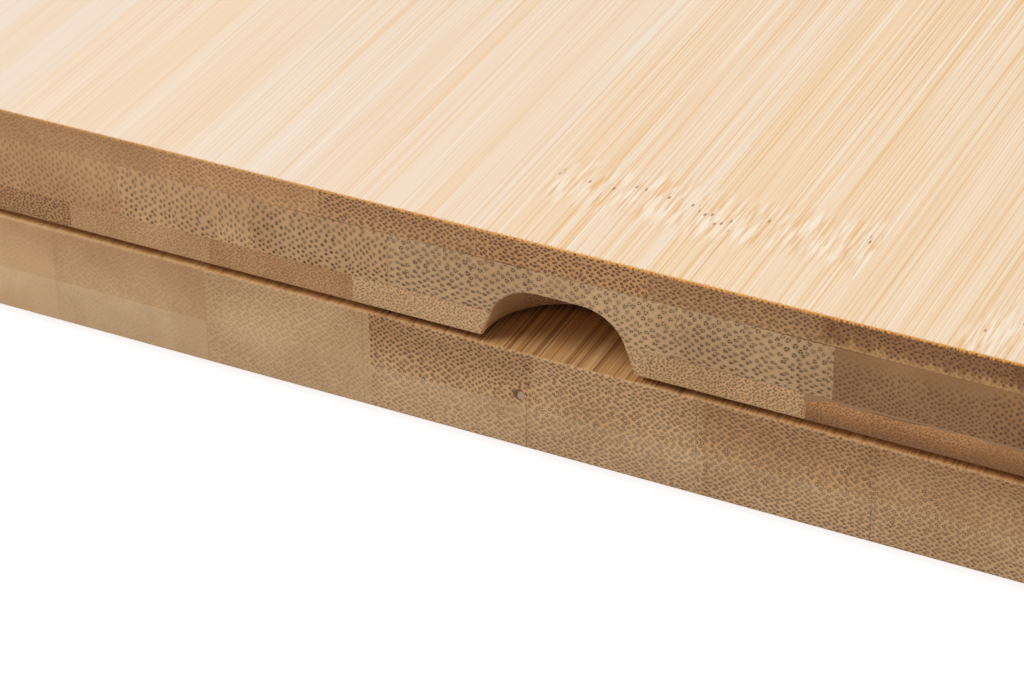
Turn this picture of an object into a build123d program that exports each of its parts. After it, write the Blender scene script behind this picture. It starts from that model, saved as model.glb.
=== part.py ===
"""Bamboo cheese board with a pull-out drawer for its cheese tools.

Millimetres, +Z up. The origin is on the table, under the middle of the board.
The front edge, with the finger notch and the drawer front, faces -Y, and the grain runs along Y.
"""

import math
import os

from build123d import *

# Board panel: three plies, each glued up from side-by-side strips
board_width = 330.0
board_depth = 330.0
corner_radius = 12.0
edge_round = 0.5
top_ply_thickness = 4.75
core_ply_thickness = 8.9
under_ply_thickness = 4.7

# Width of the strips in each ply, and where its first seam lies beside the middle of the front edge
top_strip_width = 26.7
top_strip_seam = -12.9
core_strip_width = 23.05
core_strip_seam = -4.45
under_strip_width = 24.4
under_strip_seam = -10.3
drawer_strip_width = 27.15
drawer_strip_seam = -5.0
least_strip_share = 0.3
crumb_share = 0.001

# Finger notch: one plunge of a round-nosed cutter into the underside, at the front edge
notch_height = 9.4
notch_flat_radius = 3.6
notch_corner_radius = 7.5
notch_flank_angle = 20.0
notch_axis_setback = 1.4
notch_strip_length = 40.0

# Drawer: a cut-out ply for the tools on a plain ply
drawer_upper_ply_thickness = 9.3
drawer_lower_ply_thickness = 7.55
drawer_gap = 1.2
drawer_side_clearance = 0.6
drawer_back_clearance = 1.0

# Rails under the board, and the runners that carry the drawer in their grooves
rail_width = 28.0
back_rail_width = 24.0
runner_height = 5.0
runner_reach = 5.5
runner_bury = 6.0
runner_lift = 2.0
runner_clearance = 0.3
runner_front_setback = 1.5

# Feet and their screws
foot_diameter = 16.0
foot_height = 2.5
foot_inset = 26.0
foot_edge_chamfer = 0.6
foot_recess_diameter = 7.0
foot_recess_depth = 1.4
foot_screw_diameter = 3.0
foot_screw_head_diameter = 5.8
foot_screw_head_height = 1.1
foot_screw_length = 11.0

# Countersunk screws that hold the rails to the board
rail_screw_diameter = 3.5
rail_screw_head_diameter = 7.0
rail_screw_head_height = 2.2
rail_screw_length = 28.0
rail_screw_pitch = 95.0
rail_screws_per_side = 3
back_screw_pitch = 140.0
back_screw_count = 2
cross_recess_length = 3.4
cross_recess_width = 0.8
cross_recess_depth = 0.8
screw_tip_share = 0.25
screw_clearance = 0.05

# Magnets that hold the drawer shut
magnet_diameter = 6.0
magnet_length = 4.0
magnet_pitch = 120.0
magnet_clearance = 0.05

# Cheese tools: common sizes
tool_count = 4
handle_length = 94.0
handle_width = 17.0
handle_waist_width = 13.6
handle_butt_width = 13.0
handle_thickness = 9.6
handle_edge_round = 3.2
handle_belly_share = 0.38
ferrule_length = 8.0
ferrule_width = 13.0
ferrule_thickness = 9.0
ferrule_edge_round = 2.4
blade_thickness = 1.6
neck_width = 9.0
neck_length = 12.0
tang_depth = 36.0
tang_clearance = 0.1

# Cheese tools: their own blades
cleaver_blade_length = 82.0
cleaver_blade_width = 40.0
cleaver_corner_radius = 7.0
spade_blade_length = 80.0
spade_blade_width = 38.0
spade_belly_share = 0.42
fork_blade_length = 86.0
fork_blade_width = 22.0
fork_corner_radius = 7.5
fork_slot_width = 9.0
fork_slot_length = 48.0
slicer_blade_length = 96.0
slicer_blade_width = 22.0
slicer_belly_share = 0.55
slicer_back_share = 0.30
slicer_tip_width = 11.0
slicer_tip_slot_width = 4.6
slicer_tip_slot_length = 7.5

# Pockets in the drawer's upper ply
pocket_setback = 36.0
pocket_clearance = 1.2
pocket_corner_radius = 4.0
finger_recess_radius = 15.5
finger_recess_share = 0.55

# How far a cutter runs past what it cuts, and how near an edge counts as lying in a face
overrun = 2.0
hair = 0.001

# Levels and places that follow from those sizes
board_thickness = top_ply_thickness + core_ply_thickness + under_ply_thickness
drawer_thickness = drawer_upper_ply_thickness + drawer_lower_ply_thickness
rail_height = drawer_thickness + drawer_gap
rail_bottom = foot_height
pocket_floor = rail_bottom + drawer_lower_ply_thickness
drawer_top = rail_bottom + drawer_thickness
board_bottom = rail_bottom + rail_height
core_bottom = board_bottom + under_ply_thickness
core_top = core_bottom + core_ply_thickness
board_top = board_bottom + board_thickness
front = -board_depth / 2
back = board_depth / 2
rail_inside = board_width / 2 - rail_width
rail_middle = board_width / 2 - rail_width / 2
drawer_width = 2 * (rail_inside - drawer_side_clearance)
drawer_back = back - back_rail_width - drawer_back_clearance
drawer_depth = drawer_back - front
runner_bottom = pocket_floor + runner_lift
tool_pitch = drawer_width / tool_count
tool_butt = front + pocket_setback + pocket_clearance
blade_start = handle_length + ferrule_length
tool_middle = pocket_floor + handle_thickness / 2


def box(low, high):
    """A block between two opposite corners."""
    size = [b - a for a, b in zip(low, high)]
    middle = [(a + b) / 2 for a, b in zip(low, high)]
    return Pos(*middle) * Box(*size)


def hole(x, y, bottom, height, diameter):
    """An upright round cutter standing on a level."""
    return Pos(x, y, bottom + height / 2) * Cylinder(diameter / 2, height)


def edges_at(shape, height):
    """The edges of a shape that lie at a level."""
    return shape.edges().filter_by_position(Axis.Z, height - hair, height + hair)


def level(shape, bottom, top):
    """The slice of a shape between two levels."""
    return shape & box((-board_width, -board_depth, bottom), (board_width, board_depth, top))


def strips(ply, seam, width, half_width):
    """Saws a ply into its strips at evenly spaced seams, with no sliver at either side and no crumbs."""
    least = least_strip_share * width
    count = math.ceil(2 * half_width / width)
    seams = [seam + k * width for k in range(-count, count + 1)]
    inner = [x for x in seams if -half_width + least < x < half_width - least]
    edges = [-board_width, *inner, board_width]
    cut = []
    for left, right in zip(edges, edges[1:]):
        piece = ply & box((left, -board_depth, -board_top), (right, board_depth, 2 * board_top))
        cut.extend(s for s in piece.solids() if s.volume > crumb_share * piece.volume)
    return cut


def butted(strip_solids):
    """Parts each strip that the notch reaches into, behind it, as a short length butted to a long one."""
    reach = notch_flat_radius + notch_corner_radius
    joint = front + notch_strip_length
    lengths = ((front - overrun, joint), (joint, back + overrun))
    pieces = []
    for strip in strip_solids:
        spread = strip.bounding_box()
        if spread.max.X < -reach or spread.min.X > reach:
            pieces.append(strip)
            continue
        for low, high in lengths:
            length = strip & box((-board_width, low, 0), (board_width, high, 2 * board_top))
            pieces.extend(length.solids())
    return pieces


def save(name, solids):
    """Writes one sub-part, as the group of its separate solids."""
    export_step(Compound(solids), os.path.join("parts", name + ".step"))


def rail_screw_places():
    """Where the rail screws stand, seen from above: along both side rails, then along the back rail."""
    places = []
    for side in (-1, 1):
        for k in range(rail_screws_per_side):
            places.append((side * rail_middle, (k - (rail_screws_per_side - 1) / 2) * rail_screw_pitch))
    for k in range(back_screw_count):
        places.append(((k - (back_screw_count - 1) / 2) * back_screw_pitch, back - back_rail_width / 2))
    return places


def foot_places():
    """Each foot's name and where it stands."""
    along = board_depth / 2 - foot_inset
    return {
        f"{end}_{side}_foot": (sign_x * rail_middle, sign_y * along)
        for end, sign_y in (("front", -1), ("back", 1))
        for side, sign_x in (("left", -1), ("right", 1))
    }


def magnet_places():
    """The magnets' places across the drawer."""
    return [-magnet_pitch / 2, magnet_pitch / 2]


def cross_recessed(body, x, y, bottom):
    """A screw with the cross recess for its driver cut into its head."""
    arm = (cross_recess_length / 2, cross_recess_width / 2)
    for half_x, half_y in (arm, arm[::-1]):
        body -= box((x - half_x, y - half_y, bottom - overrun),
                    (x + half_x, y + half_y, bottom + cross_recess_depth))
    return body


def screw(x, y, bottom, length, diameter, head_diameter, head_height):
    """A countersunk screw, driven upwards, with a cross recess in its head."""
    head = Pos(x, y, bottom + head_height / 2) * Cone(head_diameter / 2, diameter / 2, head_height)
    tip_height = diameter
    shank_height = length - head_height - tip_height
    shank = hole(x, y, bottom + head_height, shank_height, diameter)
    tip = Pos(x, y, bottom + length - tip_height / 2) * Cone(
        diameter / 2, screw_tip_share * diameter / 2, tip_height
    )
    return cross_recessed(head + shank + tip, x, y, bottom)


def screw_seat(x, y, bottom, length, diameter, head_diameter, head_height):
    """The hole that a screw fills, with its countersink, a little larger all round."""
    gap = screw_clearance
    head = Pos(x, y, bottom + head_height / 2) * Cone(
        head_diameter / 2 + gap, diameter / 2 + gap, head_height
    )
    return head + hole(x, y, bottom, length + gap, diameter + 2 * gap)


def rail_screw_seats():
    """All the holes for the rail screws, through the rails and into the board."""
    return [
        screw_seat(x, y, rail_bottom, rail_screw_length, rail_screw_diameter,
                   rail_screw_head_diameter, rail_screw_head_height)
        for x, y in rail_screw_places()
    ]


def notch_cutter():
    """The round-nosed cutter that leaves the finger notch, standing on the board's underside."""
    flank = math.radians(notch_flank_angle)
    centre = (notch_flat_radius, notch_height - notch_corner_radius)
    touch = (
        centre[0] + notch_corner_radius * math.cos(flank),
        centre[1] + notch_corner_radius * math.sin(flank),
    )
    halfway = (math.pi / 2 + flank) / 2
    bend = (
        centre[0] + notch_corner_radius * math.cos(halfway),
        centre[1] + notch_corner_radius * math.sin(halfway),
    )
    low = touch[0] + (touch[1] + overrun) * math.tan(flank)
    outline = [
        Polyline((0, notch_height), (0, -overrun), (low, -overrun), touch),
        ThreePointArc(touch, bend, (notch_flat_radius, notch_height)),
        Line((notch_flat_radius, notch_height), (0, notch_height)),
    ]
    profile = Plane.XZ * make_face(Curve() + outline)
    cutter = revolve(profile, Axis.Z)
    return Pos(0, front + notch_axis_setback, board_bottom) * cutter


def board_panel():
    """The whole board before it is taken apart into plies: eased edges, finger notch and screw holes."""
    plan = Pos(0, 0, board_bottom) * RectangleRounded(board_width, board_depth, corner_radius)
    panel = extrude(plan, board_thickness)
    panel -= notch_cutter()
    around_front = panel.edges().filter_by_position(Axis.Y, front - hair, front + hair)
    arch = around_front.filter_by_position(Axis.Z, board_bottom + hair, board_top - hair)
    flat_half = board_width / 2 - corner_radius - hair
    arch = arch.filter_by_position(Axis.X, -flat_half, flat_half)
    rims = edges_at(panel, board_top) + edges_at(panel, board_bottom)
    panel = fillet(rims + arch, edge_round)
    for seat in rail_screw_seats():
        panel -= seat
    return panel


def rails():
    """The side rails with their runner grooves, and the back rail between them."""
    plan = Pos(0, 0, rail_bottom) * RectangleRounded(board_width, board_depth, corner_radius)
    frame = extrude(plan, rail_height)
    frame = fillet(edges_at(frame, rail_bottom), edge_round)
    frame -= box((-rail_inside, front - overrun, rail_bottom - overrun),
                 (rail_inside, back - back_rail_width, board_bottom + overrun))
    groove_wall = rail_inside + runner_reach + runner_clearance
    frame -= box((-groove_wall, front - overrun, runner_bottom - runner_clearance),
                 (groove_wall, back - back_rail_width, runner_bottom + runner_height + runner_clearance))
    for seat in rail_screw_seats():
        frame -= seat
    for x, y in foot_places().values():
        frame -= foot_screw_seat(x, y)
    for x in magnet_places():
        frame -= magnet(x, back - back_rail_width - overrun, magnet_length + overrun, magnet_clearance)
    tall = (rail_bottom - overrun, board_bottom + overrun)
    left = frame & box((-board_width, -board_depth, tall[0]), (-rail_inside, board_depth, tall[1]))
    right = frame & box((rail_inside, -board_depth, tall[0]), (board_width, board_depth, tall[1]))
    behind = frame & box((-rail_inside, -board_depth, tall[0]), (rail_inside, board_depth, tall[1]))
    return {"left_rail": left, "right_rail": right, "back_rail": behind}


def foot(x, y):
    """A round rubber foot with a recess for its screw's head."""
    body = hole(x, y, 0, foot_height, foot_diameter)
    body = chamfer(edges_at(body, 0), foot_edge_chamfer)
    body -= hole(x, y, -overrun, foot_recess_depth + overrun, foot_recess_diameter)
    return body - hole(x, y, 0, foot_height + overrun, foot_screw_diameter + 2 * screw_clearance)


def foot_screw(x, y):
    """The pan-headed screw in a foot."""
    head_bottom = foot_recess_depth - foot_screw_head_height
    head = hole(x, y, head_bottom, foot_screw_head_height, foot_screw_head_diameter)
    body = head + hole(x, y, foot_recess_depth, foot_screw_length, foot_screw_diameter)
    return cross_recessed(body, x, y, head_bottom)


def foot_screw_seat(x, y):
    """The hole in a rail for a foot's screw."""
    start = rail_bottom - overrun
    top = foot_recess_depth + foot_screw_length + screw_clearance
    return hole(x, y, start, top - start, foot_screw_diameter + 2 * screw_clearance)


def magnet(x, start, length, gap=0.0):
    """A disc magnet that lies along Y at the height of the drawer's upper ply."""
    height = pocket_floor + drawer_upper_ply_thickness / 2
    radius = magnet_diameter / 2 + gap
    return Pos(x, start + length / 2, height) * Rot(X=90) * Cylinder(radius, length)


def pocket(x, blade_length, blade_width):
    """The cut-out for one tool: a slot for its handle, a wider one for its blade and a finger recess."""
    gap = 2 * pocket_clearance
    slot_length = blade_start + gap
    slot = Pos(x, tool_butt - pocket_clearance + slot_length / 2) * RectangleRounded(
        handle_width + gap, slot_length, pocket_corner_radius
    )
    tip_length = blade_length + gap
    tip = Pos(x, tool_butt + blade_start - pocket_clearance + tip_length / 2) * RectangleRounded(
        blade_width + gap, tip_length, pocket_corner_radius
    )
    recess = Pos(x, tool_butt + finger_recess_share * handle_length) * Circle(finger_recess_radius)
    return Pos(0, 0, pocket_floor - overrun) * extrude(slot + tip + recess, drawer_thickness)


def drawer_panel():
    """The whole drawer before it is parted into plies: eased edges, runner grooves and magnet holes."""
    half = drawer_width / 2
    panel = box((-half, front, rail_bottom), (half, drawer_back, drawer_top))
    rims = panel.edges().filter_by_position(Axis.Y, front - hair, front + hair)
    rims += panel.edges().filter_by(Axis.Y)
    panel = fillet(rims, edge_round)
    buried = half - runner_bury
    for side in (-1, 1):
        ends = sorted((side * buried, side * board_width))
        panel -= box((ends[0], front - overrun, runner_bottom),
                     (ends[1], back + overrun, runner_bottom + runner_height))
    for x in magnet_places():
        panel -= magnet(x, drawer_back - magnet_length, magnet_length + overrun, magnet_clearance)
    return panel


def runner(side):
    """The bamboo strip that is glued into a side of the drawer and runs in a rail's groove."""
    inner = side * (drawer_width / 2 - runner_bury)
    outer = side * (rail_inside + runner_reach)
    low, high = sorted((inner, outer))
    return box((low, front + runner_front_setback, runner_bottom),
               (high, drawer_back, runner_bottom + runner_height))


def tool_at(x, shape):
    """Lays a tool's piece in its pocket. A tool points along +Y from its butt."""
    return Pos(x, tool_butt, tool_middle) * shape


def slab_of(outline, thickness):
    """An outline made into a plate, half its thickness to each side of the tool's mid plane."""
    return Pos(0, 0, -thickness / 2) * extrude(outline, thickness)


def handle():
    """A bamboo handle, swelling between its butt and its waist, with a mortise for the tang."""
    butt, waist, belly = handle_butt_width / 2, handle_waist_width / 2, handle_width / 2
    belly_at = handle_belly_share * handle_length
    outline = [
        ThreePointArc((-butt, 0), (-belly, belly_at), (-waist, handle_length)),
        Line((-waist, handle_length), (waist, handle_length)),
        ThreePointArc((waist, handle_length), (belly, belly_at), (butt, 0)),
        Line((butt, 0), (-butt, 0)),
    ]
    body = slab_of(make_face(Curve() + outline), handle_thickness)
    long_edges = body.edges().filter_by(GeomType.CIRCLE)
    body = fillet(long_edges, handle_edge_round)
    mortise = box(
        (-neck_width / 2 - tang_clearance, handle_length - tang_depth - tang_clearance,
         -blade_thickness / 2 - tang_clearance),
        (neck_width / 2 + tang_clearance, handle_length + overrun, blade_thickness / 2 + tang_clearance),
    )
    return body - mortise


def ferrule():
    """The steel sleeve between a handle and its blade."""
    body = box((-ferrule_width / 2, handle_length, -ferrule_thickness / 2),
               (ferrule_width / 2, blade_start, ferrule_thickness / 2))
    body = fillet(body.edges().filter_by(Axis.Y), ferrule_edge_round)
    gap = tang_clearance
    slot = box((-neck_width / 2 - gap, handle_length - overrun, -blade_thickness / 2 - gap),
               (neck_width / 2 + gap, blade_start + overrun, blade_thickness / 2 + gap))
    return body - slot


def neck_outline():
    """The tang and the neck, which every blade shares."""
    start = handle_length - tang_depth
    length = tang_depth + ferrule_length + neck_length
    return Pos(0, start + length / 2) * Rectangle(neck_width, length)


def cleaver_blade():
    """A wide flat blade with rounded corners."""
    length = cleaver_blade_length - neck_length / 2
    middle = blade_start + cleaver_blade_length - length / 2
    plate = Pos(0, middle) * RectangleRounded(cleaver_blade_width, length, cleaver_corner_radius)
    return slab_of(plate + neck_outline(), blade_thickness)


def spade_blade():
    """A pointed leaf for breaking hard cheese."""
    root = blade_start + neck_length / 2
    tip = blade_start + spade_blade_length
    belly_at = root + spade_belly_share * (tip - root)
    outline = [
        ThreePointArc((0, root), (spade_blade_width / 2, belly_at), (0, tip)),
        ThreePointArc((0, tip), (-spade_blade_width / 2, belly_at), (0, root)),
    ]
    return slab_of(make_face(Curve() + outline) + neck_outline(), blade_thickness)


def fork_blade():
    """Two prongs on a broad root."""
    length = fork_blade_length - neck_length / 2
    end = blade_start + fork_blade_length
    head = Pos(0, end - length / 2) * RectangleRounded(fork_blade_width, length, fork_corner_radius)
    round_end = Pos(0, end - fork_slot_length) * Circle(fork_slot_width / 2)
    slot = Pos(0, end - fork_slot_length / 2 + overrun / 2) * Rectangle(
        fork_slot_width, fork_slot_length + overrun
    )
    return slab_of(head + neck_outline() - slot - round_end, blade_thickness)


def slicer_blade():
    """A narrow blade with a curved edge and a forked tip."""
    half, tip_half = neck_width / 2, slicer_tip_width / 2
    root = blade_start + neck_length / 2
    end = blade_start + slicer_blade_length
    belly_at = root + slicer_belly_share * (end - root)
    outline = [
        ThreePointArc((-half, root), (-slicer_back_share * slicer_blade_width, belly_at), (-tip_half, end)),
        Line((-tip_half, end), (tip_half, end)),
        ThreePointArc((tip_half, end), (slicer_blade_width / 2, belly_at), (half, root)),
        Line((half, root), (-half, root)),
    ]
    slot = Pos(0, end - slicer_tip_slot_length / 2 + overrun / 2) * Rectangle(
        slicer_tip_slot_width, slicer_tip_slot_length + overrun
    )
    round_end = Pos(0, end - slicer_tip_slot_length) * Circle(slicer_tip_slot_width / 2)
    return slab_of(make_face(Curve() + outline) + neck_outline() - slot - round_end, blade_thickness)


tools = {
    "fork": (fork_blade, fork_blade_length, fork_blade_width),
    "cleaver": (cleaver_blade, cleaver_blade_length, cleaver_blade_width),
    "spade": (spade_blade, spade_blade_length, spade_blade_width),
    "slicer": (slicer_blade, slicer_blade_length, slicer_blade_width),
}


def tool_x(number):
    """A tool's place across the drawer."""
    return (number - (tool_count - 1) / 2) * tool_pitch


def build_board():
    """The plies of the board, in strips, with the rails, feet, screws and magnets under them."""
    panel = board_panel()
    half = board_width / 2
    top = level(panel, core_top, board_top)
    core = level(panel, core_bottom, core_top)
    under = level(panel, board_bottom, core_bottom)
    save("top_ply", strips(top, top_strip_seam, top_strip_width, half))
    save("core_ply", butted(strips(core, core_strip_seam, core_strip_width, half)))
    save("under_ply", butted(strips(under, under_strip_seam, under_strip_width, half)))
    for name, rail in rails().items():
        save(name, rail.solids())
    screws = [
        screw(x, y, rail_bottom, rail_screw_length, rail_screw_diameter,
              rail_screw_head_diameter, rail_screw_head_height)
        for x, y in rail_screw_places()
    ]
    save("rail_screws", [s.solid() for s in screws])
    for name, (x, y) in foot_places().items():
        save(name, foot(x, y).solids())
    save("foot_screws", [foot_screw(x, y).solid() for x, y in foot_places().values()])
    start = back - back_rail_width
    save("rail_magnets", [magnet(x, start, magnet_length).solid() for x in magnet_places()])


def build_drawer():
    """The drawer's two plies, in strips, with its runners and magnets."""
    panel = drawer_panel()
    upper = level(panel, pocket_floor, drawer_top)
    for number, (_, blade_length, blade_width) in enumerate(tools.values()):
        upper -= pocket(tool_x(number), blade_length, blade_width)
    lower = level(panel, rail_bottom, pocket_floor)
    half = drawer_width / 2
    save("drawer_upper_ply", strips(upper, drawer_strip_seam, drawer_strip_width, half))
    save("drawer_lower_ply", strips(lower, drawer_strip_seam, drawer_strip_width, half))
    save("left_runner", runner(-1).solids())
    save("right_runner", runner(1).solids())
    start = drawer_back - magnet_length
    save("drawer_magnets", [magnet(x, start, magnet_length).solid() for x in magnet_places()])


def build_tools():
    """The four cheese tools, each with its handle, ferrule and blade, lying in their pockets."""
    for number, (name, (make_blade, _, _)) in enumerate(tools.items()):
        x = tool_x(number)
        save(f"{name}_handle", tool_at(x, handle()).solids())
        save(f"{name}_ferrule", tool_at(x, ferrule()).solids())
        save(f"{name}_blade", tool_at(x, make_blade()).solids())


os.makedirs("parts", exist_ok=True)
build_board()
build_drawer()
build_tools()
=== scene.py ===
import math

import bpy
from mathutils import Matrix, Vector


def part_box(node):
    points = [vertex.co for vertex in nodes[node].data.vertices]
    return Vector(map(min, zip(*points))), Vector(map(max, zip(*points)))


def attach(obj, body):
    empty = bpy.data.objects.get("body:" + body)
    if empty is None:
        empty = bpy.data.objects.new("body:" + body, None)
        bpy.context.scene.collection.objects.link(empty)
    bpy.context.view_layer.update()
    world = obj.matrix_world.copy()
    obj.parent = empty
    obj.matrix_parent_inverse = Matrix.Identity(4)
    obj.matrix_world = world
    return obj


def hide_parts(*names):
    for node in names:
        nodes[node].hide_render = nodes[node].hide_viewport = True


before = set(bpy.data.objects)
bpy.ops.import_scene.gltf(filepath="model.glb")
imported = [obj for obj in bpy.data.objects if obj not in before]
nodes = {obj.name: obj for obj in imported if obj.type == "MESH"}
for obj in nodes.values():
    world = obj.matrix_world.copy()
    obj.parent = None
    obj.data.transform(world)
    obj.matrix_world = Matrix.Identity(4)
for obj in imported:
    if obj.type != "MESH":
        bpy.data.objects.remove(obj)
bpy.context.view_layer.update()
mm = 0.001
print("frame loaded with", len(nodes), "pieces")

# levels and edges of the board, read off the frame
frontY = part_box("top_ply")[0].y
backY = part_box("top_ply")[1].y
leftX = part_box("top_ply")[0].x
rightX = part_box("top_ply")[1].x
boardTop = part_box("top_ply")[1].z
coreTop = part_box("top_ply")[0].z
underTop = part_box("under_ply")[1].z
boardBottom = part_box("under_ply")[0].z
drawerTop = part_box("drawer_upper_ply")[1].z
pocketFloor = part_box("drawer_lower_ply")[1].z
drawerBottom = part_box("drawer_lower_ply")[0].z


# small helpers for node trees

def srgb(red, green, blue):  # 0 to 255, as read off a screen
    linear = []
    for part in (red, green, blue):
        part /= 255
        linear.append(part / 12.92 if part <= 0.04045 else ((part + 0.055) / 1.055) ** 2.4)
    return (*linear, 1.0)


class Wire:  # a node's output, so that sums of nodes read as sums
    def __init__(self, socket):
        self.socket = socket
        self.tree = socket.id_data

    def __add__(self, other):
        return calc("ADD", self, other)

    def __sub__(self, other):
        return calc("SUBTRACT", self, other)

    def __rsub__(self, other):
        return calc("SUBTRACT", other, self)

    def __mul__(self, other):
        return calc("MULTIPLY", self, other)

    def __truediv__(self, other):
        return calc("DIVIDE", self, other)

    def __abs__(self):
        return calc("ABSOLUTE", self)


def feed(socket, value):
    if isinstance(value, Wire):
        value.tree.links.new(value.socket, socket)
    else:
        socket.default_value = value


def add(tree, kind, values, **options):  # values go to inputs by name or number
    node = tree.nodes.new(kind)
    for name, value in options.items():
        setattr(node, name, value)
    for name, value in values.items():
        feed(node.inputs[name], value)
    return node


def treeOf(*values):
    return next(value.tree for value in values if isinstance(value, Wire))


def wires(sockets):
    return {socket.name: Wire(socket) for socket in sockets}


def calc(operation, *values, clamp=False):
    inputs = dict(enumerate(values))
    node = add(treeOf(*values), "ShaderNodeMath", inputs, operation=operation, use_clamp=clamp)
    return Wire(node.outputs[0])


def fade(value, low, high, start=0.0, end=1.0):
    span = {"Value": value, "From Min": low, "From Max": high, "To Min": start, "To Max": end}
    node = add(value.tree, "ShaderNodeMapRange", span, interpolation_type="SMOOTHSTEP")
    return Wire(node.outputs["Result"])


def tint(factor, under, over, mode="MIX"):
    colours = {0: factor, 6: under, 7: over}
    node = add(treeOf(*colours.values()), "ShaderNodeMix", colours, data_type="RGBA", blend_type=mode)
    return Wire(node.outputs[2])


def parts(vector):
    return [Wire(socket) for socket in add(vector.tree, "ShaderNodeSeparateXYZ", {0: vector}).outputs]


def point(x, y, z):
    return Wire(add(treeOf(x, y, z), "ShaderNodeCombineXYZ", {0: x, 1: y, 2: z}).outputs[0])


def cloud(vector, scale=1.0, detail=1.0, roughness=0.5):
    values = {"Vector": vector, "Scale": scale, "Detail": detail, "Roughness": roughness}
    return Wire(add(vector.tree, "ShaderNodeTexNoise", values).outputs["Fac"])


def cells(vector, randomness):
    values = {"Vector": vector, "Scale": 1.0, "Randomness": randomness}
    return wires(add(vector.tree, "ShaderNodeTexVoronoi", values, voronoi_dimensions="2D").outputs)


def dice(value, step, seed):  # one throw for each whole number
    throw = calc("MULTIPLY_ADD", value, step, seed)
    node = add(value.tree, "ShaderNodeTexWhiteNoise", {"W": throw}, noise_dimensions="1D")
    return Wire(node.outputs["Value"])


def newGroup(name, inputs, outputs):
    group = bpy.data.node_groups.new(name, "ShaderNodeTree")
    for label in inputs:
        kind = "NodeSocketVector" if label == "Point" else "NodeSocketFloat"
        group.interface.new_socket(name=label, in_out="INPUT", socket_type=kind)
    for label in outputs:
        group.interface.new_socket(name=label, in_out="OUTPUT", socket_type="NodeSocketFloat")
    given = wires(group.nodes.new("NodeGroupInput").outputs)
    return group, given, group.nodes.new("NodeGroupOutput").inputs


def place(group, settings):
    return wires(add(treeOf(*settings.values()), "ShaderNodeGroup", settings, node_tree=group).outputs)


def newMaterial(name):
    material = bpy.data.materials.new(name)
    material.use_nodes = True
    tree = material.node_tree
    spot = Wire(tree.nodes.new("ShaderNodeTexCoord").outputs["Object"])
    return material, tree.nodes["Principled BSDF"], spot


def emboss(shader, height, strength, depth):
    bump = add(height.tree, "ShaderNodeBump", {"Strength": strength, "Distance": depth, "Height": height})
    feed(shader.inputs["Normal"], Wire(bump.outputs["Normal"]))


# In the settings below, a scale counts steps in a metre, a step parts one strip's pattern from the next,
# a cloud is (scale, detail, roughness), and a span is what fade takes: from, to, and what they become.

# side-by-side strips: a throw of the dice for each strip, and its glue line
stripDice = {"stripStep": 1.37, "lineStep": 2.11, "boldness": (0.3, 0.9, 0.25, 1.0)}


def makeStripGroup():
    tree, given, out = newGroup("bambooStrips", ["Across", "Width", "Seam", "Seed", "Line Width"],
                                ["Shift", "Line", "Inside"])
    along = (given["Across"] - given["Seam"]) / given["Width"]
    inside = calc("FRACT", along)
    edge = calc("MINIMUM", inside, 1.0 - inside) * given["Width"]
    boldness = fade(dice(calc("ROUND", along), stripDice["lineStep"], given["Seed"]), *stripDice["boldness"])
    feed(out["Shift"], dice(calc("FLOOR", along), stripDice["stripStep"], given["Seed"]))
    feed(out["Line"], fade(edge, 0.0, given["Line Width"], 1.0, 0.0) * boldness)
    feed(out["Inside"], inside)
    return tree


# end grain: dark lobed bundles in staggered rows, closer towards the outside of the cane
endGrain = {
    "wander": 2.4, "wanderScale": 110.0, "wanderLong": 12.0, "wanderStep": 91.0, "secondWander": 1.31,
    "acrossStep": 53.0, "rowStep": 17.0, "slant": 0.707, "flatten": 0.48, "swing": 0.9,
    "smallest": 0.8, "growth": 0.35, "innerSize": 1.1, "outerLoss": 0.25,
    "solidGrowth": 0.85, "ringCore": 0.42, "ringRim": 0.95,
    "faintest": 0.57, "strengthSpread": 0.4, "net": (0.40, 0.62),
}


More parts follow.
